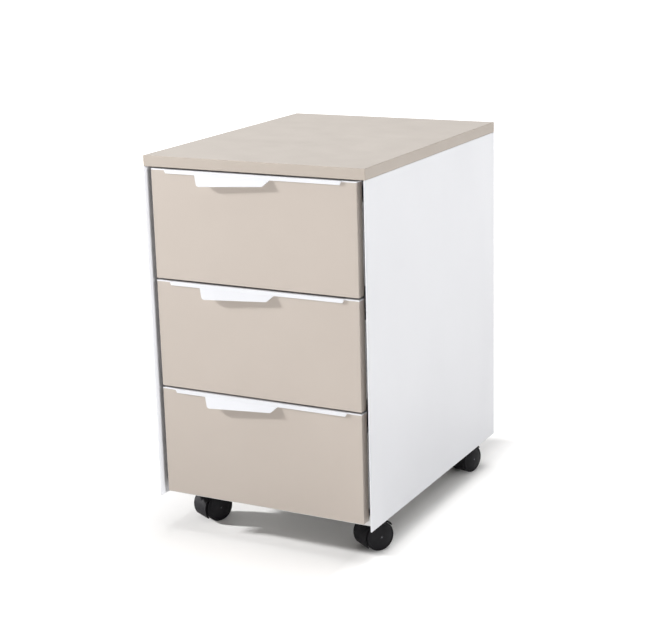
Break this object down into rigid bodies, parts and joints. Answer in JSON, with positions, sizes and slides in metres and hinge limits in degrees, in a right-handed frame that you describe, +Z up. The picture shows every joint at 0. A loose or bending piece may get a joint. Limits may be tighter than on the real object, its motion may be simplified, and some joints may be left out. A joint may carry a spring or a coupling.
{
  "type": "rolling pedestal cabinet",
  "caption": "Rolling office pedestal: beige top and drawer fronts in a white steel body, edge-pull handles, telescopic drawer runners and swivelling twin-wheel casters.",
  "frame": {"origin": "on the floor under the middle of the whole object, handle tabs included", "axes": "+Z up, drawers open towards -Y, +X to the right of someone facing the drawers"},
  "size_m": [0.4, 0.5253, 0.644],
  "materials": {
    "top_board": "beige melamine-faced board, matt, matching edging",
    "front_board": "beige melamine-faced board, matt, matching edging",
    "white_steel": "white powder coat, satin",
    "white_board": "white melamine-faced board",
    "drawer_board": "white melamine-faced board, satin",
    "drawer_bottom_board": "white-faced hardboard",
    "runner_steel": "zinc plated",
    "screw_steel": "zinc plated",
    "plate_steel": "zinc plated",
    "caster_plastic": "black nylon, satin",
    "wheel_plastic": "black nylon, satin"
  },
  "bodies": {
    "root": {"top_panel": "top_board", "left_side_panel": "white_steel", "right_side_panel": "white_steel", "bottom_board": "white_board", "back_panel": "white_steel", "front_rail": "white_steel", "carcass_screws": "screw_steel", "upper_drawer_outer_rails": "runner_steel", "centre_drawer_outer_rails": "runner_steel", "lower_drawer_outer_rails": "runner_steel", "front_left_caster_plate": "plate_steel", "front_right_caster_plate": "plate_steel", "rear_left_caster_plate": "plate_steel", "rear_right_caster_plate": "plate_steel"},
    "upper_drawer": {"upper_drawer_front": "front_board", "upper_drawer_handle": "white_steel", "upper_drawer_left_side": "drawer_board", "upper_drawer_right_side": "drawer_board", "upper_drawer_inner_front": "drawer_board", "upper_drawer_inner_back": "drawer_board", "upper_drawer_bottom": "drawer_bottom_board", "upper_drawer_screws": "screw_steel", "upper_drawer_inner_rails": "runner_steel"},
    "upper_middle_rails": {"upper_drawer_middle_rails": "runner_steel"},
    "centre_drawer": {"centre_drawer_front": "front_board", "centre_drawer_handle": "white_steel", "centre_drawer_left_side": "drawer_board", "centre_drawer_right_side": "drawer_board", "centre_drawer_inner_front": "drawer_board", "centre_drawer_inner_back": "drawer_board", "centre_drawer_bottom": "drawer_bottom_board", "centre_drawer_screws": "screw_steel", "centre_drawer_inner_rails": "runner_steel"},
    "centre_middle_rails": {"centre_drawer_middle_rails": "runner_steel"},
    "lower_drawer": {"lower_drawer_front": "front_board", "lower_drawer_handle": "white_steel", "lower_drawer_left_side": "drawer_board", "lower_drawer_right_side": "drawer_board", "lower_drawer_inner_front": "drawer_board", "lower_drawer_inner_back": "drawer_board", "lower_drawer_bottom": "drawer_bottom_board", "lower_drawer_screws": "screw_steel", "lower_drawer_inner_rails": "runner_steel"},
    "lower_middle_rails": {"lower_drawer_middle_rails": "runner_steel"},
    "front_left_swivel": {"front_left_caster_hood": "caster_plastic", "front_left_caster_axle": "plate_steel"},
    "front_left_left_wheel": {"front_left_caster_left_wheel": "wheel_plastic"},
    "front_left_right_wheel": {"front_left_caster_right_wheel": "wheel_plastic"},
    "front_right_swivel": {"front_right_caster_hood": "caster_plastic", "front_right_caster_axle": "plate_steel"},
    "front_right_left_wheel": {"front_right_caster_left_wheel": "wheel_plastic"},
    "front_right_right_wheel": {"front_right_caster_right_wheel": "wheel_plastic"},
    "rear_left_swivel": {"rear_left_caster_hood": "caster_plastic", "rear_left_caster_axle": "plate_steel"},
    "rear_left_left_wheel": {"rear_left_caster_left_wheel": "wheel_plastic"},
    "rear_left_right_wheel": {"rear_left_caster_right_wheel": "wheel_plastic"},
    "rear_right_swivel": {"rear_right_caster_hood": "caster_plastic", "rear_right_caster_axle": "plate_steel"},
    "rear_right_left_wheel": {"rear_right_caster_left_wheel": "wheel_plastic"},
    "rear_right_right_wheel": {"rear_right_caster_right_wheel": "wheel_plastic"}
  },
  "joints": [
    {"name": "upper_drawer_slide", "type": "slide", "parent": "root", "child": "upper_drawer", "axis": [0, -1, 0], "range_m": [0, 0.4]},
    {"name": "upper_middle_rails_slide", "type": "slide", "parent": "root", "child": "upper_middle_rails", "axis": [0, -1, 0], "range_m": [0, 0.2]},
    {"name": "centre_drawer_slide", "type": "slide", "parent": "root", "child": "centre_drawer", "axis": [0, -1, 0], "range_m": [0, 0.4]},
    {"name": "centre_middle_rails_slide", "type": "slide", "parent": "root", "child": "centre_middle_rails", "axis": [0, -1, 0], "range_m": [0, 0.2]},
    {"name": "lower_drawer_slide", "type": "slide", "parent": "root", "child": "lower_drawer", "axis": [0, -1, 0], "range_m": [0, 0.4]},
    {"name": "lower_middle_rails_slide", "type": "slide", "parent": "root", "child": "lower_middle_rails", "axis": [0, -1, 0], "range_m": [0, 0.2]},
    {"name": "front_left_caster_swivel", "type": "hinge", "parent": "root", "child": "front_left_swivel", "pos_m": [-0.1544, -0.19405, 0.05], "axis": [0, 0, 1], "continuous": true},
    {"name": "front_left_left_wheel_spin", "type": "hinge", "parent": "front_left_swivel", "child": "front_left_left_wheel", "pos_m": [-0.14501, -0.17639, 0.025], "axis": [-0.8829, 0.4695, 0], "continuous": true},
    {"name": "front_left_right_wheel_spin", "type": "hinge", "parent": "front_left_swivel", "child": "front_left_right_wheel", "pos_m": [-0.14501, -0.17639, 0.025], "axis": [-0.8829, 0.4695, 0], "continuous": true},
    {"name": "front_right_caster_swivel", "type": "hinge", "parent": "root", "child": "front_right_swivel", "pos_m": [0.1544, -0.19405, 0.05], "axis": [0, 0, 1], "continuous": true},
    {"name": "front_right_left_wheel_spin", "type": "hinge", "parent": "front_right_swivel", "child": "front_right_left_wheel", "pos_m": [0.16558, -0.17747, 0.025], "axis": [-0.829, 0.5592, 0], "continuous": true},
    {"name": "front_right_right_wheel_spin", "type": "hinge", "parent": "front_right_swivel", "child": "front_right_right_wheel", "pos_m": [0.16558, -0.17747, 0.025], "axis": [-0.829, 0.5592, 0], "continuous": true},
    {"name": "rear_left_caster_swivel", "type": "hinge", "parent": "root", "child": "rear_left_swivel", "pos_m": [-0.1544, 0.19365, 0.05], "axis": [0, 0, 1], "continuous": true},
    {"name": "rear_left_left_wheel_spin", "type": "hinge", "parent": "rear_left_swivel", "child": "rear_left_left_wheel", "pos_m": [-0.14691, 0.2122, 0.025], "axis": [-0.9272, 0.3746, 0], "continuous": true},
    {"name": "rear_left_right_wheel_spin", "type": "hinge", "parent": "rear_left_swivel", "child": "rear_left_right_wheel", "pos_m": [-0.14691, 0.2122, 0.025], "axis": [-0.9272, 0.3746, 0], "continuous": true},
    {"name": "rear_right_caster_swivel", "type": "hinge", "parent": "root", "child": "rear_right_swivel", "pos_m": [0.1544, 0.19365, 0.05], "axis": [0, 0, 1], "continuous": true},
    {"name": "rear_right_left_wheel_spin", "type": "hinge", "parent": "rear_right_swivel", "child": "rear_right_left_wheel", "pos_m": [0.15958, 0.21297, 0.025], "axis": [-0.9659, 0.2588, 0], "continuous": true},
    {"name": "rear_right_right_wheel_spin", "type": "hinge", "parent": "rear_right_swivel", "child": "rear_right_right_wheel", "pos_m": [0.15958, 0.21297, 0.025], "axis": [-0.9659, 0.2588, 0], "continuous": true}
  ],
  "couplings": [
    {"joint": "upper_middle_rails_slide", "follows": "upper_drawer_slide", "ratio": 0.5},
    {"joint": "centre_middle_rails_slide", "follows": "centre_drawer_slide", "ratio": 0.5},
    {"joint": "lower_middle_rails_slide", "follows": "lower_drawer_slide", "ratio": 0.5}
  ]
}
